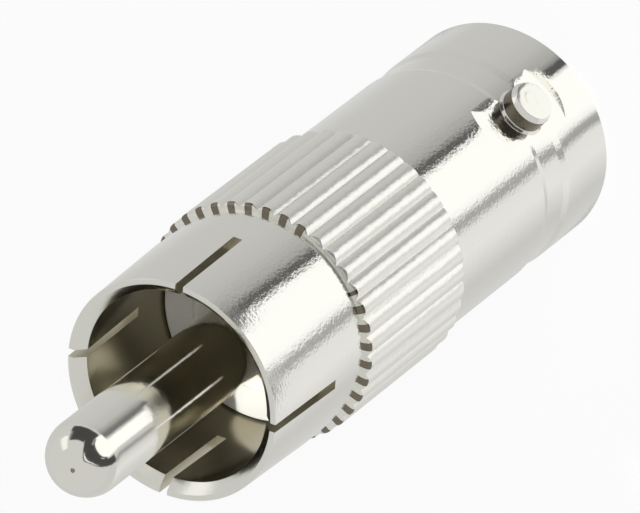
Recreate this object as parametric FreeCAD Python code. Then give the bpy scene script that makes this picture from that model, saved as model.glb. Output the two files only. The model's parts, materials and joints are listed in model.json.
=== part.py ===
import FreeCAD, Part
import math
import os

# Adapter from a phono plug to a BNC socket, in millimetres.
# It stands on its BNC mouth at z = 0 and its axis is Z, with the phono pin pointing up.
# The two bayonet lugs lie along X. The body is one turned bar of plated brass, with the barrel
# at the bottom, the knurled grip in the middle and the slotted phono shell at the top.
# Inside, two plastic insulators are pressed in from the two ends against a web in the body.
# The upper one holds the phono pin, the lower one the socket contact, and the pin's tail is
# soldered into the contact's back.

# Barrel of the BNC socket
bnc_bore_r = 4.075
barrel_wall = 0.70
barrel_length = 11.80
barrel_edge = 0.15
bnc_mouth_chamfer = 0.30
bnc_bore_depth = 8.40

# Bayonet lugs, with the flat milled round each, which flares out to the barrel's surface,
# and the shallow band between them where the bar's full width was cleared away
lug_r = 0.94
lug_height = 0.75
lug_from_mouth = 4.10
lug_edge = 0.10
lug_edge_length = 0.25
lug_base_cone = 0.10
lug_sunk = 0.30
flat_r = 2.59
flat_from_mouth = 4.31
flat_depth = 0.17
flat_flare = 0.10
band_depth = 0.09
band_width = 1.95
band_run_out = 0.35

# Knurled grip: straight teeth with round crests and V grooves, and steep ends.
# The bar is a little thicker there before the wheel presses the teeth.
grip_length = 7.35
grip_teeth = 39
grip_rise = 0.30
crest_round = 0.50
groove_angle = 90.0
tooth_end_chamfer = 0.10
tooth_turn = 1.0
knurl_stock = 0.05

# Phono shell: four spring fingers, bent in a little towards the mouth
phono_bore_r = 4.15
shell_wall = 0.63
shell_length = 6.45
phono_bore_depth = 6.15
shell_pinch = 0.12
rim_chamfer = 0.40
slot_count = 4
slot_depth = 4.30
slot_width = 0.40
slot_mouth_width = 0.33
slot_turn = 37.0

# Web inside the body, and the seats on both sides of it
shoulder_width = 0.875
seat_length = 4.20
web_lip = 0.60
press_gap = 0.02

# Phono insulator and pin
phono_insulator_thickness = 2.85
insulator_edge = 0.15
pin_recess_r = 2.83
pin_recess_depth = 0.20
pin_r = 1.58
pin_reach = 7.70
pin_shank_r = 1.10
rivet_r = 1.80
rivet_thickness = 0.60
tail_r = 0.55
tail_length = 4.40

# BNC insulator and socket contact
bnc_nose_r = 2.38
bnc_nose_recess = 2.90
bnc_nose_chamfer = 0.25
contact_bore_r = 0.675
contact_wall = 0.425
contact_recess = 0.50
contact_bore_depth = 5.00
contact_entry = 0.12
contact_slots = 4
contact_slot_width = 0.20
contact_slot_length = 3.20
collar_wall = 0.40
collar_length = 1.40
contact_gap = 0.02

# How far a cutting tool runs past the metal that it cuts
overrun = 1.0

# Heights of the joints between the pieces
barrel_r = bnc_bore_r + barrel_wall
shell_r = phono_bore_r + shell_wall
grip_end_z = barrel_length + grip_length
rim_z = grip_end_z + shell_length
slot_end_z = rim_z - slot_depth
floor_z = rim_z - phono_bore_depth
web_front_z = floor_z - phono_insulator_thickness
shoulder_z = bnc_bore_depth
web_back_z = shoulder_z + seat_length
seat_r = bnc_bore_r - shoulder_width
web_hole_r = seat_r - web_lip
tooth_tip_r = max(barrel_r, shell_r) + grip_rise
flat_x = barrel_r - flat_depth
contact_r = contact_bore_r + contact_wall
contact_front_z = bnc_nose_recess + contact_recess
collar_z = web_front_z - collar_length

Z = FreeCAD.Vector(0, 0, 1)
X = FreeCAD.Vector(1, 0, 0)
Y = FreeCAD.Vector(0, 1, 0)
ORIGIN = FreeCAD.Vector(0, 0, 0)


def turned(outline):
    """Solid of revolution about Z. A point is (radius, height); three numbers more give an arc:
    (radius, height, middle radius, middle height) reaches the point through the middle one."""
    edges = []
    points = outline + [outline[0][:2]]
    for here, there in zip(points, points[1:]):
        start = FreeCAD.Vector(here[0], 0, here[1])
        end = FreeCAD.Vector(there[0], 0, there[1])
        if len(there) == 4:
            middle = FreeCAD.Vector(there[2], 0, there[3])
            edges.append(Part.Arc(start, middle, end).toShape())
        else:
            edges.append(Part.LineSegment(start, end).toShape())
    face = Part.Face(Part.Wire(edges))
    return face.revolve(ORIGIN, Z, 360)


def about_axis(shape, count, turn):
    """Copies of a shape, evenly spaced about Z, as one compound."""
    copies = []
    for k in range(count):
        copy = shape.copy()
        copy.rotate(ORIGIN, Z, turn + k * 360.0 / count)
        copies.append(copy)
    return Part.makeCompound(copies)


def pinched(z):
    """How far the shell's fingers are bent in at a height."""
    return shell_pinch * (z - slot_end_z) / slot_depth


def body_blank():
    """The bar as the lathe leaves it, before the knurl, the slots and the flats."""
    half_edge = barrel_edge * math.sqrt(0.5)
    band_low = lug_from_mouth - band_width / 2
    band_high = lug_from_mouth + band_width / 2
    band_r = barrel_r - band_depth
    chamfer_z = rim_z - rim_chamfer
    stock_r = tooth_tip_r + knurl_stock
    barrel_end = tooth_end_chamfer * (stock_r - barrel_r) / (tooth_tip_r - barrel_r)
    shell_end = tooth_end_chamfer * (stock_r - shell_r) / (tooth_tip_r - shell_r)
    return turned([
        (bnc_bore_r + bnc_mouth_chamfer, 0),
        (barrel_r - barrel_edge, 0),
        (barrel_r, barrel_edge, barrel_r - barrel_edge + half_edge, barrel_edge - half_edge),
        (barrel_r, band_low),
        (band_r, band_low + band_run_out),
        (band_r, band_high - band_run_out),
        (barrel_r, band_high),
        (barrel_r, barrel_length),
        (stock_r, barrel_length + barrel_end),
        (stock_r, grip_end_z - shell_end),
        (shell_r, grip_end_z),
        (shell_r, slot_end_z),
        (shell_r - shell_pinch, rim_z),
        (phono_bore_r - shell_pinch + rim_chamfer, rim_z),
        (phono_bore_r - pinched(chamfer_z), chamfer_z),
        (phono_bore_r, slot_end_z),
        (phono_bore_r, web_front_z),
        (web_hole_r, web_front_z),
        (web_hole_r, web_back_z),
        (seat_r, web_back_z),
        (seat_r, shoulder_z),
        (bnc_bore_r, shoulder_z),
        (bnc_bore_r, bnc_mouth_chamfer),
    ])


def tooth_outline():
    """One tooth's points in plan, its crest on the X axis: foot, shoulder and crest, and the same
    two points on its other side. The crest is an arc, and the flanks are tangent to it."""
    half_pitch = math.pi / grip_teeth
    centre = tooth_tip_r - crest_round
    meet = half_pitch + math.asin(min(1.0, centre * math.sin(half_pitch) / crest_round))
    lean = min(math.radians(90 - groove_angle / 2), 0.98 * meet)
    shoulder = (centre + crest_round * math.cos(lean), crest_round * math.sin(lean))
    slope = math.tan(half_pitch)
    flank = (shoulder[0] * slope - shoulder[1]) / (math.cos(lean) + math.sin(lean) * slope)
    foot = (shoulder[0] - flank * math.sin(lean), shoulder[1] + flank * math.cos(lean))
    return [(foot[0], -foot[1]), (shoulder[0], -shoulder[1]), (tooth_tip_r, 0), shoulder, foot]


def knurl_waste():
    """What the knurling wheel presses away over the grip: all that lies outside the ring of teeth."""
    level = FreeCAD.Vector(0, 0, barrel_length)
    outline = [FreeCAD.Vector(x, y, barrel_length) for x, y in tooth_outline()]
    edges = []
    for k in range(grip_teeth):
        turn = FreeCAD.Rotation(Z, tooth_turn + k * 360.0 / grip_teeth)
        foot, shoulder, crest, far_shoulder, far_foot = [turn.multVec(point) for point in outline]
        edges.append(Part.LineSegment(foot, shoulder).toShape())
        edges.append(Part.Arc(shoulder, crest, far_shoulder).toShape())
        edges.append(Part.LineSegment(far_shoulder, far_foot).toShape())
    teeth = Part.Face(Part.Wire(edges)).extrude(Z * grip_length)
    return Part.makeCylinder(tooth_tip_r + overrun, grip_length, level, Z).cut(teeth)


def shell_slots():
    """The saw cuts between the fingers, a little narrower at the mouth, where the fingers lean in."""
    top = slot_depth + overrun
    top_width = slot_width + (slot_mouth_width - slot_width) * top / slot_depth
    inner = phono_bore_r - overrun
    corners = [
        FreeCAD.Vector(inner, -slot_width / 2, slot_end_z),
        FreeCAD.Vector(inner, slot_width / 2, slot_end_z),
        FreeCAD.Vector(inner, top_width / 2, slot_end_z + top),
        FreeCAD.Vector(inner, -top_width / 2, slot_end_z + top),
    ]
    cut = Part.Face(Part.makePolygon(corners + corners[:1])).extrude(X * (shell_wall + 2 * overrun))
    return about_axis(cut, slot_count, slot_turn)


def lug_flats():
    """What the mill takes off the barrel round the two lugs: flat floors with a flared edge."""
    centre = FreeCAD.Vector(flat_x, 0, flat_from_mouth)
    floor_r = flat_r - flat_flare
    outer_r = floor_r + flat_flare * overrun / flat_depth
    return about_axis(Part.makeCone(floor_r, outer_r, overrun, centre, X), 2, 0)


def lugs():
    """The two lugs, with a tapered top edge and a small cone at the foot that runs into the barrel."""
    foot = flat_x - lug_sunk
    top = barrel_r + lug_height
    lug = turned([
        (0, foot),
        (lug_r + lug_base_cone + lug_sunk, foot),
        (lug_r, flat_x + lug_base_cone),
        (lug_r, top - lug_edge_length),
        (lug_r - lug_edge, top),
        (0, top),
    ])
    lug.rotate(ORIGIN, Y, 90)
    lug.translate(Z * lug_from_mouth)
    return about_axis(lug, 2, 0)


def adapter_body():
    """The turned body: barrel, lugs, knurled grip and phono shell in one piece of metal."""
    body = body_blank()
    body = body.cut(knurl_waste())
    body = body.cut(shell_slots())
    body = body.cut(lug_flats())
    for lug in lugs().Solids:
        body = body.fuse(lug)
    return body


def phono_insulator():
    """Plastic disc that closes the phono shell's floor and carries the riveted pin."""
    outer = phono_bore_r - press_gap
    hole = pin_shank_r + contact_gap
    pocket = rivet_r + contact_gap
    return turned([
        (hole, web_front_z + rivet_thickness),
        (pocket, web_front_z + rivet_thickness),
        (pocket, web_front_z),
        (outer, web_front_z),
        (outer, floor_z - insulator_edge),
        (outer - insulator_edge, floor_z),
        (pin_recess_r, floor_z),
        (pin_recess_r, floor_z - pin_recess_depth),
        (hole, floor_z - pin_recess_depth),
    ])


def phono_pin():
    """Centre pin with a round tip, a shoulder on the insulator, a rivet head behind it and a tail."""
    shoulder = floor_z - pin_recess_depth
    tip_z = rim_z + pin_reach
    round_z = tip_z - pin_r
    diagonal = pin_r * math.sqrt(0.5)
    return turned([
        (0, web_front_z - tail_length),
        (tail_r, web_front_z - tail_length),
        (tail_r, web_front_z),
        (rivet_r, web_front_z),
        (rivet_r, web_front_z + rivet_thickness),
        (pin_shank_r, web_front_z + rivet_thickness),
        (pin_shank_r, shoulder),
        (pin_r, shoulder),
        (pin_r, round_z),
        (0, tip_z, diagonal, round_z + diagonal),
    ])


def bnc_insulator():
    """White insulator: a nose in the barrel, a flange in the seat and a spigot through the web."""
    bore = contact_r + contact_gap
    pocket = contact_r + collar_wall + contact_gap
    return turned([
        (bore, bnc_nose_recess),
        (bnc_nose_r - bnc_nose_chamfer, bnc_nose_recess),
        (bnc_nose_r, bnc_nose_recess + bnc_nose_chamfer),
        (bnc_nose_r, shoulder_z),
        (seat_r - press_gap, shoulder_z),
        (seat_r - press_gap, web_back_z),
        (web_hole_r - press_gap, web_back_z),
        (web_hole_r - press_gap, web_front_z),
        (pocket, web_front_z),
        (pocket, collar_z),
        (bore, collar_z),
    ])


def contact_slot_cuts():
    """The slots that make the contact's mouth springy."""
    length = contact_slot_length + overrun
    corner = FreeCAD.Vector(0, -contact_slot_width / 2, contact_front_z - overrun)
    cut = Part.makeBox(contact_r + overrun, contact_slot_width, length, corner)
    return about_axis(cut, contact_slots, 0)


def bnc_contact():
    """Socket contact: slotted spring tube in front, collar and solder cup at the back."""
    cup_r = tail_r + contact_gap
    cup_z = web_front_z - tail_length - contact_gap
    contact = turned([
        (contact_bore_r + contact_entry, contact_front_z),
        (contact_r, contact_front_z),
        (contact_r, collar_z),
        (contact_r + collar_wall, collar_z),
        (contact_r + collar_wall, web_front_z),
        (cup_r, web_front_z),
        (cup_r, cup_z),
        (0, cup_z),
        (0, contact_front_z + contact_bore_depth),
        (contact_bore_r, contact_front_z + contact_bore_depth),
        (contact_bore_r, contact_front_z + contact_entry),
    ])
    return contact.cut(contact_slot_cuts())


pieces = {
    "adapter_body": adapter_body,
    "phono_insulator": phono_insulator,
    "phono_pin": phono_pin,
    "bnc_insulator": bnc_insulator,
    "bnc_contact": bnc_contact,
}

os.makedirs("parts", exist_ok=True)
for name, make in pieces.items():
    shape = make().Solids[0]
    shape.exportStep(f"parts/{name}.step")
    box = shape.BoundBox
    print(name, "valid", shape.isValid(), "volume %.3f" % shape.Volume,
          "x %.2f y %.2f" % (box.XLength, box.YLength),
          "z %.2f to %.2f" % (box.ZMin, box.ZMax))
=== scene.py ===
# %% [markdown]
# # A phono-to-bayonet adapter in bright nickel
# The real adapter is a short brass bar, turned on a lathe, knurled in the middle, slotted at
# one end and plated with nickel. It stands here on its socket end, with the pin pointing up.
# The measured model already holds its construction. This file dresses it: it turns finer
# copies of the metal and plastic pieces, gives them their finishes, and sets up the studio.
# Lengths are written in millimetres and multiplied by MM, because a scene is in metres.

import json
import math

import bpy
import numpy as np
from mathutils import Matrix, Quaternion, Vector

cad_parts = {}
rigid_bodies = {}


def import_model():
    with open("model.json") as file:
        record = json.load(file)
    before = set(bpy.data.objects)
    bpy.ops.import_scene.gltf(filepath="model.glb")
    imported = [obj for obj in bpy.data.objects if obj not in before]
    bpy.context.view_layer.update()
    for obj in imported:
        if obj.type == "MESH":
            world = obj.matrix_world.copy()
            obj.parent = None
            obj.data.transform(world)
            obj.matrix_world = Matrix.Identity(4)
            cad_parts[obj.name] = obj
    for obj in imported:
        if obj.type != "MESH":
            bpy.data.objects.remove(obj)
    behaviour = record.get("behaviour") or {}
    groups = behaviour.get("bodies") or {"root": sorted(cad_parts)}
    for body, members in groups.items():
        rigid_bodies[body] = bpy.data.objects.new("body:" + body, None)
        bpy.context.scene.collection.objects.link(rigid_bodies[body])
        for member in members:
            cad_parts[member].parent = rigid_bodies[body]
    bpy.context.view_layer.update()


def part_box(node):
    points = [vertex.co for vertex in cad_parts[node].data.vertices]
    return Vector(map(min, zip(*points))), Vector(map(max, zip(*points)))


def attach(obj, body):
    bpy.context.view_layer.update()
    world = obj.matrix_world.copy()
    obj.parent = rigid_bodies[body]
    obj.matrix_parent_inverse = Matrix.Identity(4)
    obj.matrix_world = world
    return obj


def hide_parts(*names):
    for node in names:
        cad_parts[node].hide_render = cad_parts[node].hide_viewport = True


MM = 0.001
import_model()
bpy.context.scene.view_settings.view_transform = "Standard"

# %% [markdown]
# # The camera
# The photograph was taken from far away with a long lens, so lines that run along the
# adapter hardly come together. The camera is placed like one on a tripod: it looks at a point
# inside the adapter from a distance, is turned round it, raised, and then rolled about its
# own line of sight until the adapter lies across the picture from corner to corner.

# %% Place the camera
aim = Vector((0.02, 0.565, 13.78)) * MM
camera_distance = 409.5 * MM
camera_azimuth = -2.62
camera_height = 49.65
camera_roll = 127.73
camera_view = 3.506


def direction(azimuth, elevation):
    """A unit arrow, from degrees round the Z axis and degrees above the floor."""
    turn = math.radians(azimuth)
    rise = math.radians(elevation)
    return Vector((math.cos(rise) * math.cos(turn), math.cos(rise) * math.sin(turn), math.sin(rise)))


def add_camera():
    """The camera, looking back along its direction and rolled clockwise."""
    data = bpy.data.cameras.new("camera")
    data.angle = math.radians(camera_view)
    data.clip_start = 10 * MM
    data.clip_end = 10
    camera = bpy.data.objects.new("camera", data)
    bpy.context.scene.collection.objects.link(camera)
    back = direction(camera_azimuth, camera_height)
    camera.location = aim + back * camera_distance
    camera.rotation_mode = "QUATERNION"
    roll = Quaternion((0, 0, 1), -math.radians(camera_roll))
    camera.rotation_quaternion = back.to_track_quat("Z", "Y") @ roll
    bpy.context.scene.camera = camera


add_camera()

# %% [markdown]
# # Modelling helpers
# Nearly everything here came off a lathe, so it is made the way a lathe works: a ring of
# edges is drawn along the outline, growing and shrinking as it goes. Each corner of an
# outline is (radius, height, rounding). The rounding matters as much as the size, because a
# corner with no radius has no highlight, and real metal always shows one.

# %% Select, turn and cut
MERGE = 0.0008 * MM
ON_AXIS = 0.0002
ROUND_STEPS = 3
FIRST_AZIMUTH = 90


def deselect():
    """Leave edit mode and clear the selection, so that the next tool acts on one piece alone."""
    if bpy.context.object and bpy.context.object.mode != "OBJECT":
        bpy.ops.object.mode_set(mode="OBJECT")
    bpy.ops.object.select_all(action="DESELECT")


def activate(piece):
    """Make one piece the selected and active one."""
    deselect()
    piece.select_set(True)
    bpy.context.view_layer.objects.active = piece


def places(piece):
    """Radius, azimuth in degrees and height of each vertex, in millimetres."""
    flat = np.empty(len(piece.data.vertices) * 3)
    piece.data.vertices.foreach_get("co", flat)
    x, y, z = flat.reshape(-1, 3).T / MM
    return np.hypot(x, y), np.degrees(np.arctan2(y, x)), z


def pick(piece, chosen):
    """Go into edit mode with just these vertices selected."""
    activate(piece)
    bpy.ops.object.mode_set(mode="EDIT")
    bpy.ops.mesh.select_mode(type="VERT")
    bpy.ops.mesh.select_all(action="DESELECT")
    bpy.ops.object.mode_set(mode="OBJECT")
    piece.data.vertices.foreach_set("select", np.asarray(chosen, bool))
    bpy.ops.object.mode_set(mode="EDIT")


def rounded(outline):
    """The outline with each corner that has a rounding replaced by a short arc."""
    points = []
    for before, corner, after in zip(outline[-1:] + outline[:-1], outline, outline[1:] + outline[:1]):
        here = Vector(corner[:2])
        soft = corner[2] if len(corner) > 2 else 0
        back = Vector(before[:2]) - here
        ahead = Vector(after[:2]) - here
        half = back.angle(ahead) / 2
        if soft == 0 or half > math.radians(88):
            points.append(here)
            continue
        trim = min(soft / math.tan(half), 0.45 * min(back.length, ahead.length))
        soft = trim * math.tan(half)
        middle = here + (back.normalized() + ahead.normalized()).normalized() * soft / math.sin(half)
        first = here + back.normalized() * trim - middle
        last = here + ahead.normalized() * trim - middle
        for step in range(ROUND_STEPS + 1):
            blend = first.lerp(last, step / ROUND_STEPS)
            points.append(middle + blend.normalized() * soft)
    return points


def turn(name, outline, around, turned_by=0.0):
    """Turn a closed outline about Z: a circle is extruded ring by ring and joined to its start."""
    points = rounded(outline)
    radius, height = points[0]
    deselect()
    bpy.ops.mesh.primitive_circle_add(
        vertices=around, radius=radius * MM, location=(0, 0, height * MM),
        rotation=(0, 0, math.radians(turned_by)))
    piece = bpy.context.active_object
    piece.name = name
    bpy.ops.object.transform_apply()
    bpy.ops.object.mode_set(mode="EDIT")
    bpy.ops.mesh.select_all(action="SELECT")
    for new_radius, new_height in points[1:] + points[:1]:
        step = (0, 0, (new_height - height) * MM)
        bpy.ops.mesh.extrude_region_move(TRANSFORM_OT_translate={"value": step})
        growth = new_radius / radius
        bpy.ops.transform.resize(value=(growth, growth, 1), center_override=(0, 0, 0))
        radius, height = new_radius, new_height
    bpy.ops.mesh.select_all(action="SELECT")
    bpy.ops.mesh.remove_doubles(threshold=MERGE)
    bpy.ops.mesh.normals_make_consistent(inside=False)
    bpy.ops.object.mode_set(mode="OBJECT")
    return piece


def combine(piece, tool, how="DIFFERENCE"):
    """Cut a tool's shape from a piece, or weld it on, and throw the tool away."""
    activate(piece)
    step = piece.modifiers.new(tool.name, "BOOLEAN")
    step.operation = how
    step.solver = "EXACT"
    step.object = tool
    bpy.ops.object.modifier_apply(modifier=step.name)
    bpy.data.objects.remove(tool)


def smooth(piece, angle=28):
    """Smooth shading that stops at real edges and follows the larger faces."""
    activate(piece)
    bpy.ops.object.shade_smooth_by_angle(angle=math.radians(angle))
    weighted = piece.modifiers.new("weighted", "WEIGHTED_NORMAL")
    weighted.keep_sharp = True
    bpy.ops.object.modifier_apply(modifier=weighted.name)
    print(piece.name, "has", len(piece.data.polygons), "faces")


# %% [markdown]
# # The turned body
# One bar of brass makes the barrel, the knurled grip and the phono shell. The outline is
# walked once round its section: out over the socket mouth, up the outside to the rim, and
# down through the bores. The rings in the grip sit at the full height of the teeth, and
# close together at both ends, where each tooth has a flat end and a bevelled crest.

# %% Outline of the body
bore_r = 4.075
barrel_r = 4.775
barrel_length = 11.80
bore_depth = 8.40
bore_flare = 0.30
lug_height = 4.10
band_r = barrel_r - 0.09
band_half = 0.975
band_run = 0.35
grip_end = 19.15
shell_r = 4.78
shell_bore_r = 4.15
web_top = 16.60
web_bottom = 12.60
seat_r = 3.20
web_hole_r = 2.60
floor_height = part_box("phono_insulator")[1].z / MM
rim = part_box("adapter_body")[1].z / MM
slot_end = rim - 4.30
pinch = 0.12
rim_chamfer = 0.40

teeth = 39
steps_per_tooth = 14
tooth_tip = shell_r + 0.30
crest_round = 0.50
groove_flank = math.radians(45)
tooth_turn = 1.0
tooth_rings = 24
end_step = 0.02
bevel_from = 4.97
pitch = 360 / teeth
first_crest = tooth_turn + 10 * pitch


def tooth_radius(steps_from_crest):
    """Radius of a tooth's round crest or straight flank, counted in mesh steps from its crest."""
    turned = math.radians(steps_from_crest * 360 / teeth / steps_per_tooth)
    centre = tooth_tip - crest_round
    aside = crest_round * math.sin(groove_flank)
    shoulder = math.atan2(aside, centre + crest_round * math.cos(groove_flank))
    if turned < shoulder:
        inside = crest_round ** 2 - (centre * math.sin(turned)) ** 2
        return centre * math.cos(turned) + math.sqrt(inside)
    return (centre * math.cos(groove_flank) + crest_round) / math.cos(turned - groove_flank)


def end_offset(radius):
    """How far from the grip's end the metal of a tooth starts: a flat end with a bevelled crest."""
    return end_step + max(0.0, radius - bevel_from)


tooth_form = [tooth_radius(step) for step in range(steps_per_tooth // 2 + 1)]
end_radii = sorted(tooth_form)
tooth_start = barrel_length + end_offset(tooth_tip)
straight = grip_end - barrel_length - 2 * end_offset(tooth_tip)

body_outline = [
    (bore_r + bore_flare, 0, 0.03),
    (barrel_r, 0, 0.15),
    (barrel_r, lug_height - band_half, 0.10),
    (band_r, lug_height - band_half + band_run, 0.10),
    (band_r, lug_height + band_half - band_run, 0.10),
    (barrel_r, lug_height + band_half, 0.10),
    (barrel_r, barrel_length),
]
for radius in end_radii:
    body_outline.append((radius, barrel_length + end_offset(radius)))
for ring in range(1, tooth_rings):
    body_outline.append((tooth_tip, tooth_start + straight * ring / tooth_rings))
for radius in reversed(end_radii):
    body_outline.append((radius, grip_end - end_offset(radius)))
body_outline += [
    (shell_r, grip_end),
    (shell_r, slot_end),
    (shell_r - pinch, rim, 0.02),
    (shell_bore_r - pinch + rim_chamfer, rim, 0.02),
    (shell_bore_r - pinch, rim - rim_chamfer, 0.05),
    (shell_bore_r, slot_end),
    (shell_bore_r, web_top),
    (web_hole_r, web_top),
    (web_hole_r, web_bottom),
    (seat_r, web_bottom),
    (seat_r, bore_depth),
    (bore_r, bore_depth),
    (bore_r, bore_flare, 0.05),
]

body = turn("body", body_outline, teeth * steps_per_tooth, first_crest - FIRST_AZIMUTH)

# %% [markdown]
# # The knurl
# A knurling wheel presses V grooves along the grip, and the metal between them swells into
# round crests. Every tooth here is fourteen mesh steps wide. The rings drawn at the crests'
# height are pulled in step by step to the tooth's form, and those at the grip's two ends only
# where they stand above it, so that each tooth ends in the small flat triangle of a real one.

# %% Press the grooves
hair = 0.001

radii, azimuths, heights = places(body)
step_of = np.rint(((azimuths - first_crest) % pitch) / (pitch / steps_per_tooth)) % steps_per_tooth
from_crest = np.minimum(step_of, steps_per_tooth - step_of)
in_grip = (heights > barrel_length) & (heights < grip_end) & (radii > end_radii[0] - 2 * hair)
for ring_radius in end_radii[1:]:
    on_ring = in_grip & (abs(radii - ring_radius) < hair)
    for steps, radius in enumerate(tooth_form):
        if radius < ring_radius:
            pick(body, on_ring & (from_crest == steps))
            shrink = radius / ring_radius
            bpy.ops.transform.resize(value=(shrink, shrink, 1), center_override=(0, 0, 0))
deselect()

# %% [markdown]
# # Slots, flats and lugs
# A thin saw opens the shell into four springy fingers. A mill leaves a round flat, with a
# flared edge, about each bayonet lug. All three are shapes taken from or added to a finished
# bar, so they are made as tools and combined with it.

# %% Saw the slots
slot_turn = 37.0
slot_width = 0.40
slot_mouth_width = 0.33
saw_reach = 2.0
saw_over = 1.0
saw_height = rim + saw_over - slot_end
saw_middle = slot_end + saw_height / 2
narrower = slot_mouth_width / slot_width

for quarter in range(4):
    deselect()
    bpy.ops.mesh.primitive_cube_add(size=MM, location=(shell_r * MM, 0, saw_middle * MM))
    saw = bpy.context.active_object
    saw.name = "saw"
    saw.scale = (saw_reach, slot_width, saw_height)
    bpy.ops.object.transform_apply()
    pick(saw, places(saw)[2] > rim)
    bpy.ops.transform.resize(value=(1, narrower, 1), center_override=(0, 0, 0))
    deselect()
    saw.select_set(True)
    saw.rotation_euler.z = math.radians(slot_turn + 90 * quarter)
    bpy.ops.object.transform_apply()
    combine(body, saw)

# %% Mill the flats
flat_r = 2.59
flat_height = 4.31
flat_depth = 0.17
flat_flare = 0.10
flat_x = barrel_r - flat_depth
mill_reach = 1.0
mill_steps = 144


def across(tool, side, height):
    """Lay a tool that was turned about Z along X, pointing out of one side of the barrel."""
    activate(tool)
    tool.rotation_euler.y = math.radians(90 * side)
    tool.location.z = height * MM
    bpy.ops.object.transform_apply()
    return tool


for side in (1, -1):
    mill = turn("mill", [
        (ON_AXIS, flat_x),
        (flat_r - flat_flare, flat_x),
        (flat_r - flat_flare + flat_flare * mill_reach / flat_depth, flat_x + mill_reach),
        (ON_AXIS, flat_x + mill_reach),
    ], mill_steps)
    combine(body, across(mill, side, flat_height))

# %% Weld on the lugs
lug_r = 0.94
lug_top = barrel_r + 0.75
lug_edge = 0.10
lug_edge_length = 0.25
lug_foot = 0.10
lug_sunk = 0.15
lug_steps = 96
lug_outline = [
    (ON_AXIS, flat_x - lug_sunk),
    (lug_r + lug_foot, flat_x - lug_sunk),
    (lug_r + lug_foot, flat_x, 0.02),
    (lug_r, flat_x + lug_foot, 0.06),
    (lug_r, lug_top - lug_edge_length, 0.06),
    (lug_r - lug_edge, lug_top, 0.03),
    (ON_AXIS, lug_top),
]

for side in (1, -1):
    lug = turn("lug", lug_outline, lug_steps)
    combine(body, across(lug, side, lug_height), "UNION")

smooth(body)
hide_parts("adapter_body")
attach(body, "root")

# %% [markdown]
# # Plastic and pins
# Four smaller turned pieces fill the bar: a cream disc that holds the phono pin, the pin
# with its round tip, a white insulator in the socket and the gilt socket contact. Each gets
# more steps round than the measured model has, because bright round metal shows every facet.

# %% Turn the phono insulator and pin
pin_r = 1.58
pin_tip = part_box("phono_pin")[1].z / MM
tail_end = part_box("phono_pin")[0].z / MM
tail_r = 0.55
shank_r = 1.10
rivet_r = 1.80
rivet_top = web_top + 0.60
recess_r = 2.83
recess_depth = 0.20
press_gap = 0.02
tip_steps = 24
pin_steps = 160
shoulder = floor_height - recess_depth

disc = turn("phono_disc", [
    (shank_r + press_gap, rivet_top),
    (rivet_r + press_gap, rivet_top),
    (rivet_r + press_gap, web_top),
    (shell_bore_r - press_gap, web_top),
    (shell_bore_r - press_gap, floor_height, 0.15),
    (recess_r, floor_height, 0.04),
    (recess_r, shoulder, 0.03),
    (shank_r + press_gap, shoulder),
], pin_steps)

tip_arc = []
for step in range(1, tip_steps):
    sweep = math.radians(90 * step / tip_steps)
    tip_arc.append((pin_r * math.cos(sweep), pin_tip - pin_r + pin_r * math.sin(sweep)))
pin = turn("pin", [
    (ON_AXIS, tail_end),
    (tail_r, tail_end, 0.08),
    (tail_r, web_top),
    (rivet_r, web_top, 0.10),
    (rivet_r, rivet_top),
    (shank_r, rivet_top),
    (shank_r, shoulder),
    (pin_r, shoulder, 0.03),
    (pin_r, pin_tip - pin_r),
] + tip_arc + [(ON_AXIS, pin_tip)], pin_steps)

# %% Pit the pin's tip
pit_r = 0.14
pit_depth = 0.035
pit_from_tip = 14.3
pit_azimuth = -19.6

pit_way = direction(pit_azimuth, 90 - pit_from_tip)
pit_centre = Vector((0, 0, pin_tip - pin_r)) + pit_way * (pin_r + pit_r - pit_depth)
deselect()
bpy.ops.mesh.primitive_uv_sphere_add(
    segments=24, ring_count=16, radius=pit_r * MM, location=pit_centre * MM)
punch = bpy.context.active_object
punch.name = "punch"
bpy.ops.object.transform_apply()
combine(pin, punch)

# %% Turn the socket's insulator and contact
contact_r = 1.10
contact_bore_r = 0.675
contact_front = 3.40
contact_bore_end = contact_front + 5.00
contact_flare = 0.12
collar_r = 1.50
collar_height = web_top - 1.40
nose_r = 2.38
nose_front = 2.90
insulator_steps = 128
contact_steps = 96

plug = turn("socket_insulator", [
    (contact_r + press_gap, nose_front, 0.03),
    (nose_r, nose_front, 0.25),
    (nose_r, bore_depth),
    (seat_r - press_gap, bore_depth, 0.05),
    (seat_r - press_gap, web_bottom),
    (web_hole_r - press_gap, web_bottom),
    (web_hole_r - press_gap, web_top),
    (collar_r + press_gap, web_top),
    (collar_r + press_gap, collar_height),
    (contact_r + press_gap, collar_height),
], insulator_steps)

contact = turn("socket_contact", [
    (contact_bore_r + contact_flare, contact_front, 0.03),
    (contact_r, contact_front, 0.05),
    (contact_r, collar_height),
    (collar_r, collar_height),
    (collar_r, web_top),
    (tail_r + press_gap, web_top),
    (tail_r + press_gap, tail_end - press_gap),
    (ON_AXIS, tail_end - press_gap),
    (ON_AXIS, contact_bore_end),
    (contact_bore_r, contact_bore_end),
    (contact_bore_r, contact_front + contact_flare, 0.05),
], contact_steps)

# %% Slit the contact's mouth
slit_width = 0.20
slit_length = 3.20
slit_over = 1.0
slit_middle = contact_front + slit_length / 2 - slit_over / 2

for slit_turn in (0, 90):
    deselect()
    bpy.ops.mesh.primitive_cube_add(size=MM, location=(0, 0, slit_middle * MM))
    slit = bpy.context.active_object
    slit.name = "slit"
    slit.scale = (4 * contact_r, slit_width, slit_length + slit_over)
    slit.rotation_euler.z = math.radians(slit_turn)
    bpy.ops.object.transform_apply()
    combine(contact, slit)

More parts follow.
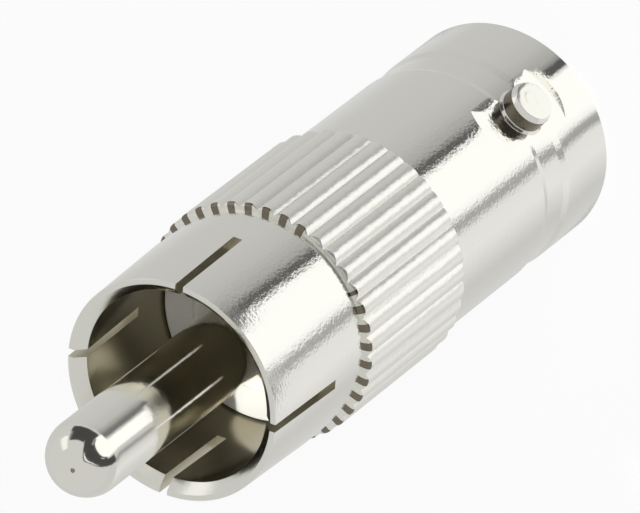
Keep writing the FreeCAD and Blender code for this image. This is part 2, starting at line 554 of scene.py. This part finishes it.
for piece, node, slot in (
        (disc, "phono_insulator", "cream_plastic"),
        (pin, "phono_pin", "pin_nickel"),
        (plug, "bnc_insulator", "white_plastic"),
        (contact, "bnc_contact", "gold_plate")):
    smooth(piece)
    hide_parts(node)
    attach(piece, "root")

# %% [markdown]
# # Shared surface effects
# A finish is never one flat number. These node groups make the small differences that plated
# metal and moulded plastic have, once, and each material places them with its own values.
# Texture space is scaled to millimetres first, so a scale of 5 means five bumps to one.

# %% Node helpers


def new_group(name, inputs, outputs):
    """An empty shader node group with named number sockets. Each input has a starting value."""
    group = bpy.data.node_groups.new(name, "ShaderNodeTree")
    for title, value in inputs:
        socket = group.interface.new_socket(title, in_out="INPUT", socket_type="NodeSocketFloat")
        socket.default_value = value
    for title in outputs:
        group.interface.new_socket(title, in_out="OUTPUT", socket_type="NodeSocketFloat")
    start = group.nodes.new("NodeGroupInput")
    end = group.nodes.new("NodeGroupOutput")
    return group, start, end


def add(tree, kind, **settings):
    """A node, with its settings as attributes."""
    node = tree.nodes.new(kind)
    for title, value in settings.items():
        setattr(node, title, value)
    return node


def millimetres(tree, kept=(1, 1, 1), offset=(0, 0, 0)):
    """Object coordinates in millimetres. A kept of 0 leaves a coordinate out of a distance."""
    source = add(tree, "ShaderNodeTexCoord")
    scaled = add(tree, "ShaderNodeMapping")
    scaled.inputs["Scale"].default_value = [part / MM for part in kept]
    scaled.inputs["Location"].default_value = offset
    tree.links.new(source.outputs["Object"], scaled.inputs["Vector"])
    return scaled.outputs["Vector"]


# %% Grain of a plated surface


def make_grain():
    """Fine pimples and a slower waviness, as plating leaves over a machined surface."""
    group, start, end = new_group(
        "plating_grain", [("Fine Scale", 9.0), ("Wave Scale", 1.5), ("Wave Share", 0.6)],
        ["Height", "Mask"])
    place = millimetres(group)
    fine = add(group, "ShaderNodeTexNoise")
    fine.inputs["Detail"].default_value = 2
    wave = add(group, "ShaderNodeTexNoise")
    wave.inputs["Detail"].default_value = 1
    mix = add(group, "ShaderNodeMath", operation="MULTIPLY_ADD")
    group.links.new(place, fine.inputs["Vector"])
    group.links.new(place, wave.inputs["Vector"])
    group.links.new(start.outputs["Fine Scale"], fine.inputs["Scale"])
    group.links.new(start.outputs["Wave Scale"], wave.inputs["Scale"])
    group.links.new(wave.outputs["Fac"], mix.inputs[0])
    group.links.new(start.outputs["Wave Share"], mix.inputs[1])
    group.links.new(fine.outputs["Fac"], mix.inputs[2])
    group.links.new(mix.outputs[0], end.inputs["Height"])
    group.links.new(wave.outputs["Fac"], end.inputs["Mask"])
    return group


grain = make_grain()

# %% Rings of a turning tool


def make_rings():
    """Rings that a lathe tool leaves, from a distance in millimetres, never quite even."""
    group, start, end = new_group(
        "tool_rings", [("Distance", 0.0), ("Rings", 4.0), ("Unevenness", 1.0)], ["Height"])
    place = millimetres(group)
    noise = add(group, "ShaderNodeTexNoise")
    noise.inputs["Scale"].default_value = 1.4
    per_ring = add(group, "ShaderNodeMath", operation="MULTIPLY")
    sway = add(group, "ShaderNodeMath", operation="MULTIPLY_ADD")
    angle = add(group, "ShaderNodeMath", operation="MULTIPLY")
    angle.inputs[1].default_value = 2 * math.pi
    ring = add(group, "ShaderNodeMath", operation="SINE")
    height = add(group, "ShaderNodeMath", operation="MULTIPLY")
    group.links.new(place, noise.inputs["Vector"])
    group.links.new(start.outputs["Distance"], per_ring.inputs[0])
    group.links.new(start.outputs["Rings"], per_ring.inputs[1])
    group.links.new(noise.outputs["Fac"], sway.inputs[0])
    group.links.new(start.outputs["Unevenness"], sway.inputs[1])
    group.links.new(per_ring.outputs[0], sway.inputs[2])
    group.links.new(sway.outputs[0], angle.inputs[0])
    group.links.new(angle.outputs[0], ring.inputs[0])
    group.links.new(ring.outputs[0], height.inputs[0])
    group.links.new(noise.outputs["Fac"], height.inputs[1])
    group.links.new(height.outputs[0], end.inputs["Height"])
    return group


tool_rings = make_rings()


def height_up(tree):
    """The height over the floor, for rings round the turned bar."""
    parts = add(tree, "ShaderNodeSeparateXYZ")
    tree.links.new(millimetres(tree), parts.inputs[0])
    return parts.outputs["Z"]


def from_lug_axis(tree):
    """The distance from the lugs' axis, for rings on their tops."""
    length = add(tree, "ShaderNodeVectorMath", operation="LENGTH")
    tree.links.new(millimetres(tree, (0, 1, 1), (0, 0, -lug_height)), length.inputs[0])
    return length.outputs["Value"]


# %% Materials


def new_material(name):
    """A material with an empty principled surface."""
    material = bpy.data.materials.new(name)
    material.use_nodes = True
    return material, material.node_tree, material.node_tree.nodes["Principled BSDF"]


def place_group(tree, group, **values):
    """A group node with its own values."""
    node = add(tree, "ShaderNodeGroup", node_tree=group)
    for title, value in values.items():
        node.inputs[title.replace("_", " ")].default_value = value
    return node


def bump(tree, height, depth, under=None):
    """A bump of so many millimetres from a height between 0 and 1, over another one if given."""
    node = add(tree, "ShaderNodeBump")
    node.inputs["Distance"].default_value = depth * MM
    tree.links.new(height, node.inputs["Height"])
    if under:
        tree.links.new(under, node.inputs["Normal"])
    return node.outputs["Normal"]


def make_metal(name, colour, roughness, grain_depth, fine_scale, distance=None, rings=4, ring_depth=0.0):
    """Bright plated metal, with rings of the tool where a distance for them is given."""
    material, tree, surface = new_material(name)
    surface.inputs["Base Color"].default_value = (*colour, 1)
    surface.inputs["Metallic"].default_value = 1
    surface.inputs["Roughness"].default_value = roughness
    texture = place_group(tree, grain, Fine_Scale=fine_scale)
    normal = bump(tree, texture.outputs["Height"], grain_depth)
    if distance:
        marks = place_group(tree, tool_rings, Rings=rings)
        tree.links.new(distance(tree), marks.inputs["Distance"])
        normal = bump(tree, marks.outputs["Height"], ring_depth, normal)
    tree.links.new(normal, surface.inputs["Normal"])
    return material


def make_plastic(name, colour, roughness, grain_depth, fine_scale):
    """Moulded plastic."""
    material, tree, surface = new_material(name)
    surface.inputs["Base Color"].default_value = (*colour, 1)
    surface.inputs["Roughness"].default_value = roughness
    surface.inputs["Subsurface Weight"].default_value = 0.15
    surface.inputs["Subsurface Radius"].default_value = (0.6, 0.5, 0.4)
    surface.inputs["Subsurface Scale"].default_value = MM
    texture = place_group(tree, grain, Fine_Scale=fine_scale)
    tree.links.new(bump(tree, texture.outputs["Height"], grain_depth), surface.inputs["Normal"])
    return material


# Colour, roughness, depth of the grain in millimetres and its bumps to one of them. Where there
# are rings of a tool, the distance that they follow, how many go to a millimetre, and their depth
nickel = make_metal("nickel", (0.94, 0.93, 0.87), 0.10, 0.008, 7, height_up, 6, 0.0004)
knurled_nickel = make_metal("knurled_nickel", (1.0, 0.99, 0.93), 0.37, 0.022, 3)
# Painted shade: the bores' nickel is duller and yellower, and darkened much further for the shade deep
# in the shell
bore_painted_shade = make_metal("bore_painted_shade", (0.33, 0.30, 0.215), 0.20, 0.006, 1.5)
rim_nickel = make_metal("rim_nickel", (0.92, 0.91, 0.84), 0.16, 0.003, 4)
sawn_nickel = make_metal("sawn_nickel", (0.72, 0.69, 0.57), 0.36, 0.004, 6)
# Painted shade: a dark nickel for the upper ends of the teeth and the lugs' sides
painted_shade_nickel = make_metal("painted_shade_nickel", (0.24, 0.21, 0.165), 0.22, 0.004, 3)
faced_nickel = make_metal("faced_nickel", (0.90, 0.89, 0.82), 0.22, 0.014, 2.2,
                          from_lug_axis, 2.6, 0.012)
pin_nickel = make_metal("pin_nickel", (0.96, 0.945, 0.87), 0.10, 0.003, 4)
pit_nickel = make_metal("pit_nickel", (0.34, 0.31, 0.25), 0.30, 0.002, 9)
gold = make_metal("gold", (0.95, 0.74, 0.38), 0.15, 0.004, 9)
cream = make_plastic("cream_plastic", (0.93, 0.91, 0.83), 0.45, 0.004, 7)
white = make_plastic("white_plastic", (0.92, 0.92, 0.90), 0.40, 0.004, 7)

body_finishes = [
    nickel, knurled_nickel, bore_painted_shade, painted_shade_nickel, faced_nickel, rim_nickel, sawn_nickel]

for piece, finishes in (
        (body, body_finishes),
        (pin, [pin_nickel, pit_nickel]),
        (disc, [cream]),
        (plug, [white]),
        (contact, [gold])):
    piece.data.materials.clear()
    for finish in finishes:
        piece.data.materials.append(finish)

# %% [markdown]
# # One finish for each face
# The body is one piece of metal, but its faces were made by different tools and plated more or
# less brightly: the knurl, the sawn slots, the filed rim and the lugs' tops. The bores are a
# duller, yellower nickel, darkened further as painted shade of the deep shell. The upper ends of
# the teeth and the lugs' sides are a dark nickel that is painted shade. Each face is told by where
# it lies and which way it looks. How squarely it looks some way is a cosine: 1 is straight that
# way, 0 is across it.

# %% Sort the faces
slack = 0.01
edge_slack = 0.03
squarely = 0.9
bore_margin = 1.0
groove_share = 0.31
lit_ends_from = -17.62
lit_ends_to = 12.38


def faces(piece):
    """The middle of each face in millimetres, and its normal, as two lists of (x, y, z)."""
    count = len(piece.data.polygons)
    middle = np.empty(count * 3)
    normal = np.empty(count * 3)
    piece.data.polygons.foreach_get("center", middle)
    piece.data.polygons.foreach_get("normal", normal)
    return middle.reshape(-1, 3) / MM, normal.reshape(-1, 3)


middle, normal = faces(body)
face_r = np.hypot(middle[:, 0], middle[:, 1])
face_z = middle[:, 2]
facing_x = abs(normal[:, 0])
facing_up = normal[:, 2]
outwards = (middle[:, 0] * normal[:, 0] + middle[:, 1] * normal[:, 1]) / face_r

in_knurl = (face_z > barrel_length) & (face_z < grip_end) & (face_r > barrel_r + 2 * slack)
knurled = in_knurl & (outwards > 0.2)
# Faces in the bores and faces that look inwards get the bore nickel with its painted shade
within_bores = (face_r < bore_r) & (face_z > bore_margin) & (face_z < rim - bore_margin)
inside = (outwards < -squarely) | within_bores
beside_slot = (face_z > slot_end - slack) & (face_r > shell_bore_r - pinch)
sawn = beside_slot & (abs(outwards) < 0.5) & (facing_up < 0.6)
sawn |= (abs(face_z - slot_end) < slack) & (facing_up > squarely)
rim_faces = (face_z > rim - rim_chamfer - edge_slack) & (face_r < shell_r - pinch - slack)
rim_faces &= facing_up > 0.3

# Painted shade: the upper ends of the teeth are dark, apart from a few below one lug, on the side
# towards the camera and the key lamp
azimuth = np.degrees(np.arctan2(middle[:, 1], middle[:, 0]))
from_groove = abs(((azimuth - first_crest) % pitch) / pitch - 0.5)
outside_shell = (face_z < grip_end + hair) & (face_r > shell_r - slack)
knurl_ends = outside_shell & (face_z > grip_end - edge_slack)
shaded_tooth_ends = outside_shell & (face_z > grip_end - end_offset(tooth_tip))
shaded_tooth_ends &= (from_groove > groove_share) & ((azimuth < lit_ends_from) | (azimuth > lit_ends_to))

from_lug = np.hypot(middle[:, 1], face_z - lug_height)
on_lug = (from_lug < lug_r + lug_foot + slack) & (abs(middle[:, 0]) > flat_x + slack / 2)
# The lugs' sides get the dark nickel of painted shade
shaded_lug_side = on_lug & (facing_x < 0.3) & (facing_up > -0.5)
lug_face = on_lug & (facing_x > squarely)

finish_of = np.zeros(len(middle), dtype=np.int32)
for chosen, finish in (
        (knurled, knurled_nickel),
        (inside, bore_painted_shade),
        (sawn, sawn_nickel),
        (knurl_ends, knurled_nickel),
        (shaded_tooth_ends, painted_shade_nickel),
        (shaded_lug_side, painted_shade_nickel),
        (lug_face, faced_nickel),
        (rim_faces, rim_nickel)):
    finish_of[chosen] = body_finishes.index(finish)
body.data.polygons.foreach_set("material_index", finish_of)
print("faces of each finish on the body:", np.bincount(finish_of))

# The faces of the pit on the pin's tip get a darker nickel than the rest of the pin
middle, normal = faces(pin)
from_pit = np.linalg.norm(middle - np.array(pit_centre), axis=1)
pin.data.polygons.foreach_set("material_index", (from_pit < pit_r + 2 * hair).astype(np.int32))

# %% [markdown]
# # The studio
# Polished metal shows its surroundings more than itself, so the studio is built for what the
# adapter mirrors. Seen from above, its upright sides mirror only the floor round its foot. A
# photographer would lay white and grey card there. Each card here is graded from one edge to
# the other, and its lines run the way that an upright cylinder mirrors them, so that they show
# as straight bands along the barrel, the shell and the pin. The cards are placed for this one
# view. Only mirrors see them, and they cast no shadow. The floor, the dome that lamps and far
# cards stand on, and the lamps themselves are sized in metres.

# %% Floor and world
floor_half = 0.6
floor_drop = 0.02
floor_grey = 0.8
floor_glow = 0.9
floor_trace = 0.15
floor_mirrored = 0.6
ambient_level = 0.22
mirrored_level = 0.62


def make_floor():
    """White for the camera, with a trace of the adapter's shadow, and pale grey in mirrors."""
    material = bpy.data.materials.new("floor")
    material.use_nodes = True
    tree = material.node_tree
    tree.nodes.clear()
    end = add(tree, "ShaderNodeOutputMaterial")
    path = add(tree, "ShaderNodeLightPath")
    lit = add(tree, "ShaderNodeBsdfDiffuse")
    lit.inputs["Color"].default_value = (floor_grey, floor_grey, floor_grey, 1)
    faint = add(tree, "ShaderNodeBsdfDiffuse")
    faint.inputs["Color"].default_value = (floor_trace, floor_trace, floor_trace, 1)
    glow = add(tree, "ShaderNodeEmission")
    glow.inputs["Strength"].default_value = floor_glow
    seen = add(tree, "ShaderNodeAddShader")
    mirrored = add(tree, "ShaderNodeEmission")
    mirrored.inputs["Strength"].default_value = floor_mirrored
    for_camera = add(tree, "ShaderNodeMixShader")
    for_mirror = add(tree, "ShaderNodeMixShader")
    either = add(tree, "ShaderNodeMath", operation="MAXIMUM")
    tree.links.new(glow.outputs[0], seen.inputs[0])
    tree.links.new(faint.outputs[0], seen.inputs[1])
    tree.links.new(path.outputs["Is Camera Ray"], for_camera.inputs[0])
    tree.links.new(lit.outputs[0], for_camera.inputs[1])
    tree.links.new(seen.outputs[0], for_camera.inputs[2])
    tree.links.new(path.outputs["Is Glossy Ray"], either.inputs[0])
    tree.links.new(path.outputs["Is Transmission Ray"], either.inputs[1])
    tree.links.new(either.outputs[0], for_mirror.inputs[0])
    tree.links.new(for_camera.outputs[0], for_mirror.inputs[1])
    tree.links.new(mirrored.outputs[0], for_mirror.inputs[2])
    tree.links.new(for_mirror.outputs[0], end.inputs["Surface"])
    return material


deselect()
bpy.ops.mesh.primitive_plane_add(size=2 * floor_half, location=(0, 0, -floor_drop * MM))
floor = bpy.context.active_object
floor.name = "floor"
floor.data.materials.append(make_floor())

world = bpy.data.worlds.new("studio")
bpy.context.scene.world = world
world.use_nodes = True
world_tree = world.node_tree
sky = world_tree.nodes["Background"]
sky_path = add(world_tree, "ShaderNodeLightPath")
sky_mirrored = add(world_tree, "ShaderNodeMath", operation="MAXIMUM")
sky_in_mirrors = add(world_tree, "ShaderNodeMath", operation="MULTIPLY_ADD")
sky_in_camera = add(world_tree, "ShaderNodeMath", operation="MULTIPLY_ADD")
world_tree.links.new(sky_path.outputs["Is Glossy Ray"], sky_mirrored.inputs[0])
world_tree.links.new(sky_path.outputs["Is Transmission Ray"], sky_mirrored.inputs[1])
world_tree.links.new(sky_mirrored.outputs[0], sky_in_mirrors.inputs[0])
sky_in_mirrors.inputs[1].default_value = mirrored_level - ambient_level
sky_in_mirrors.inputs[2].default_value = ambient_level
world_tree.links.new(sky_path.outputs["Is Camera Ray"], sky_in_camera.inputs[0])
sky_in_camera.inputs[1].default_value = 1 - ambient_level
world_tree.links.new(sky_in_mirrors.outputs[0], sky_in_camera.inputs[2])
world_tree.links.new(sky_in_camera.outputs[0], sky.inputs["Strength"])
sky.inputs["Color"].default_value = (1, 1, 1, 1)

# %% Cards for the metal to mirror
dome_r = 0.5
wide = 62.0
far = 500.0
pin_card_height = rim + 0.1
mirror_r = barrel_r + 0.03

# The cards on the floor lie one above another, in the thin gap between it and the foot
under_pin = -0.012
under_white = -0.010
under_dark = -0.008
under_lug = -0.006

# A dark arch on the dome, as angles: it grows by so much from its inner to its outer edge
arch_azimuth = -8
arch_half_width = 24
arch_wider = 24
arch_height = 19
arch_higher = 44
strip_nearer = 0.98

card_rows = 6
fine_columns = 352
arch_columns = 60
white_level = 1.06
dark_level = 0.06


def graded_light():
    """Light from the front of a card, as bright as the card's own attribute says."""
    material = bpy.data.materials.new("graded_light")
    material.use_nodes = True
    tree = material.node_tree
    tree.nodes.clear()
    level = add(tree, "ShaderNodeAttribute", attribute_name="brightness")
    glow = add(tree, "ShaderNodeEmission")
    clear = add(tree, "ShaderNodeBsdfTransparent")
    side = add(tree, "ShaderNodeNewGeometry")
    front = add(tree, "ShaderNodeMixShader")
    end = add(tree, "ShaderNodeOutputMaterial")
    tree.links.new(level.outputs["Fac"], glow.inputs["Strength"])
    tree.links.new(side.outputs["Backfacing"], front.inputs[0])
    tree.links.new(glow.outputs[0], front.inputs[1])
    tree.links.new(clear.outputs[0], front.inputs[2])
    tree.links.new(front.outputs[0], end.inputs["Surface"])
    return material


card_light = graded_light()


def card(name, stops, along, place, columns=24):
    """A card that only mirrors see. stops are (value, brightness) pairs across it, with even
    grading between them. place turns a value across and a value along the card into a point."""
    deselect()
    bpy.ops.mesh.primitive_grid_add(x_subdivisions=columns, y_subdivisions=card_rows, size=2)
    sheet = bpy.context.active_object
    sheet.name = name
    values, levels = zip(*stops)
    brightness = []
    for vertex in sheet.data.vertices:
        across = values[0] + (values[-1] - values[0]) * (vertex.co.x + 1) / 2
        brightness.append(np.interp(across, values, levels))
        vertex.co = place(across, along[0] + (along[1] - along[0]) * (vertex.co.y + 1) / 2)
    sheet.data.attributes.new("brightness", "FLOAT", "POINT").data.foreach_set("value", brightness)
    sheet.data.materials.append(card_light)
    first = sheet.data.polygons[0]
    lies_flat = abs(first.normal.z) > 0.99
    turned_away = first.normal.z < 0 if lies_flat else first.normal.dot(first.center) > 0
    if turned_away:
        sheet.data.flip_normals()
    sheet.visible_camera = False
    sheet.visible_diffuse = False
    sheet.visible_shadow = False


def plain(first, last, brightness):
    """The stops of a card of one even brightness."""
    return [(first, brightness), (last, brightness)]


def on_floor(lift):
    """Places a point at an azimuth from the camera's side and a distance, lifted off the floor."""
    def place(azimuth, distance):
        return direction(camera_azimuth + azimuth, 0) * distance * MM + Vector((0, 0, lift * MM))
    return place


def on_mirror_line(start_r, lift):
    """Places a point on the line that an upright cylinder of this radius mirrors along one of its
    own lines, so that the card's edges show as straight bands on the cylinder."""
    def place(azimuth, travel):
        start = direction(camera_azimuth + azimuth, 0) * start_r
        away = direction(camera_azimuth + 2 * azimuth, 0) * travel
        return (start + away) * MM + Vector((0, 0, lift * MM))
    return place


def under_flat(across_flat, travel):
    """Places a point on the patch of floor that the milled flat and the lug's top mirror."""
    away = direction(-camera_azimuth, 0) * travel
    return (Vector((flat_x, across_flat, 0)) + away) * MM + Vector((0, 0, under_lug * MM))


def on_dome(azimuth, elevation):
    """A point on a dome round the adapter."""
    return direction(camera_azimuth + azimuth, elevation) * dome_r


def on_arch(angle, share):
    """A point of a dark arch on the dome, over the white sheet's far end, for the pin's round tip."""
    swing = math.radians(angle)
    sideways = (arch_half_width + arch_wider * share) * math.cos(swing)
    upwards = (arch_height + arch_higher * share) * math.sin(swing)
    return on_dome(arch_azimuth + sideways, upwards)


def inside_arch(angle, share):
    """The same point a little nearer, for a strip of light in front of the arch."""
    return on_arch(angle, share) * strip_nearer


# What the barrel and the shell mirror, by azimuth on the cylinder from the camera's side
barrel_stops = [
    (-88, 0.68), (-56, 0.60), (-38, 0.82), (-27, 0.80), (-23.5, 0.36), (-21, 0.42), (-18.5, 0.95),
    (-15, 1.06), (5, 1.06), (6.8, 0.75), (8, 0.10), (11, 0.10), (12.5, 0.29), (15, 0.41), (24, 0.52),
    (34, 0.56), (60, 0.58), (88, 0.72)]
card("barrel_sheet", barrel_stops, (-0.5, 35), on_mirror_line(mirror_r, under_white), fine_columns)

# The same for the pin, level with the rim, and again on the floor for its round tip
pin_stops = [
    (-88, 0.58), (-58, 0.66), (-44, 0.78), (-34, 0.68), (-30, 0.52), (-27.5, 0.34), (-25.5, 0.34),
    (-22.5, 0.56), (-18.5, 0.62), (-16, 1.06), (-1, 1.06), (3, 0.42), (5, 0.18), (9, 0.18), (13, 0.34),
    (20, 0.50), (36, 0.56), (88, 0.60)]
card("pin_sheet", pin_stops, (3.1, 8.3), on_mirror_line(pin_r, pin_card_height), fine_columns)
card("pin_sheet_floor", pin_stops, (36, wide), on_mirror_line(pin_r, under_pin), fine_columns)

# White in front, dark to the left and right, and more on the dome for the round tip
card("flat_sheet", plain(-1.6, 1.6, white_level), (1.3, 6.2), under_flat)
card("white_sheet_far", plain(-34, 20, white_level), (wide, far), on_floor(under_white))
card("white_sheet_back", plain(-34, 20, white_level), (0, 18), on_dome)
card("dark_left_floor", plain(-57, -38, dark_level), (wide, far), on_floor(under_dark))
card("dark_arch", plain(0, 180, dark_level), (0, 1), on_arch, arch_columns)
strip_stops = [(55, 0.3), (75, 0.95), (130, 0.95), (150, 0.3)]
card("strip_light", strip_stops, (0.82, 0.92), inside_arch)
card("dark_arm", [(38, dark_level), (76, dark_level), (84, 0.4)], (0, 26), on_dome)
card("window", [(84, 0.6), (90, 0.95), (102, 0.95), (112, 0.6)], (12, 44), on_dome)
card("dark_right_floor", plain(22, 86, dark_level), (90, far), on_floor(under_dark))

# %% Soft lamps
lamp_size = 0.25
key_azimuth = 2
key_height = 52
key_power = 0.62
fill_azimuth = -90
fill_height = 50
fill_power = 0.18


def place_lamp(data, azimuth, elevation, target, distance):
    """Hang a lamp so far from its target, facing it. Mirrors see the cards and not the lamp."""
    lamp = bpy.data.objects.new(data.name, data)
    bpy.context.scene.collection.objects.link(lamp)
    away = direction(camera_azimuth + azimuth, elevation)
    lamp.location = target + away * distance
    lamp.rotation_euler = away.to_track_quat("Z", "Y").to_euler()
    lamp.visible_glossy = False


def add_soft_lamp(name, azimuth, elevation, power):
    """A soft square lamp on the dome."""
    data = bpy.data.lights.new(name, "AREA")
    data.shape = "RECTANGLE"
    data.size = lamp_size
    data.size_y = lamp_size
    data.energy = power
    place_lamp(data, azimuth, elevation, Vector((0, 0, 0)), dome_r)


add_soft_lamp("key_lamp", key_azimuth, key_height, key_power)
add_soft_lamp("fill_lamp", fill_azimuth, fill_height, fill_power)

# %% [markdown]
# # A narrow beam into the plug
# In the photograph a bright patch lies on one side of the cream disc, deep in the shell, and the
# other side is in shade. A lamp with a tube in front of it gives such a patch: here that is a
# spot lamp with a narrow cone, aimed past the pin.

# %% Beam lamp
beam_azimuth = 91
beam_height = 53
beam_distance = 0.15
beam_cone = 1.4
beam_blend = 0.25
beam_lens = 0.003
beam_power = 3.2
patch_azimuth = -132
patch_r = 3.8

patch = direction(camera_azimuth + patch_azimuth, 0) * patch_r * MM + Vector((0, 0, floor_height * MM))
beam = bpy.data.lights.new("beam_lamp", "SPOT")
beam.energy = beam_power
beam.spot_size = math.radians(beam_cone)
beam.spot_blend = beam_blend
beam.shadow_soft_size = beam_lens
place_lamp(beam, beam_azimuth, beam_height, patch, beam_distance)
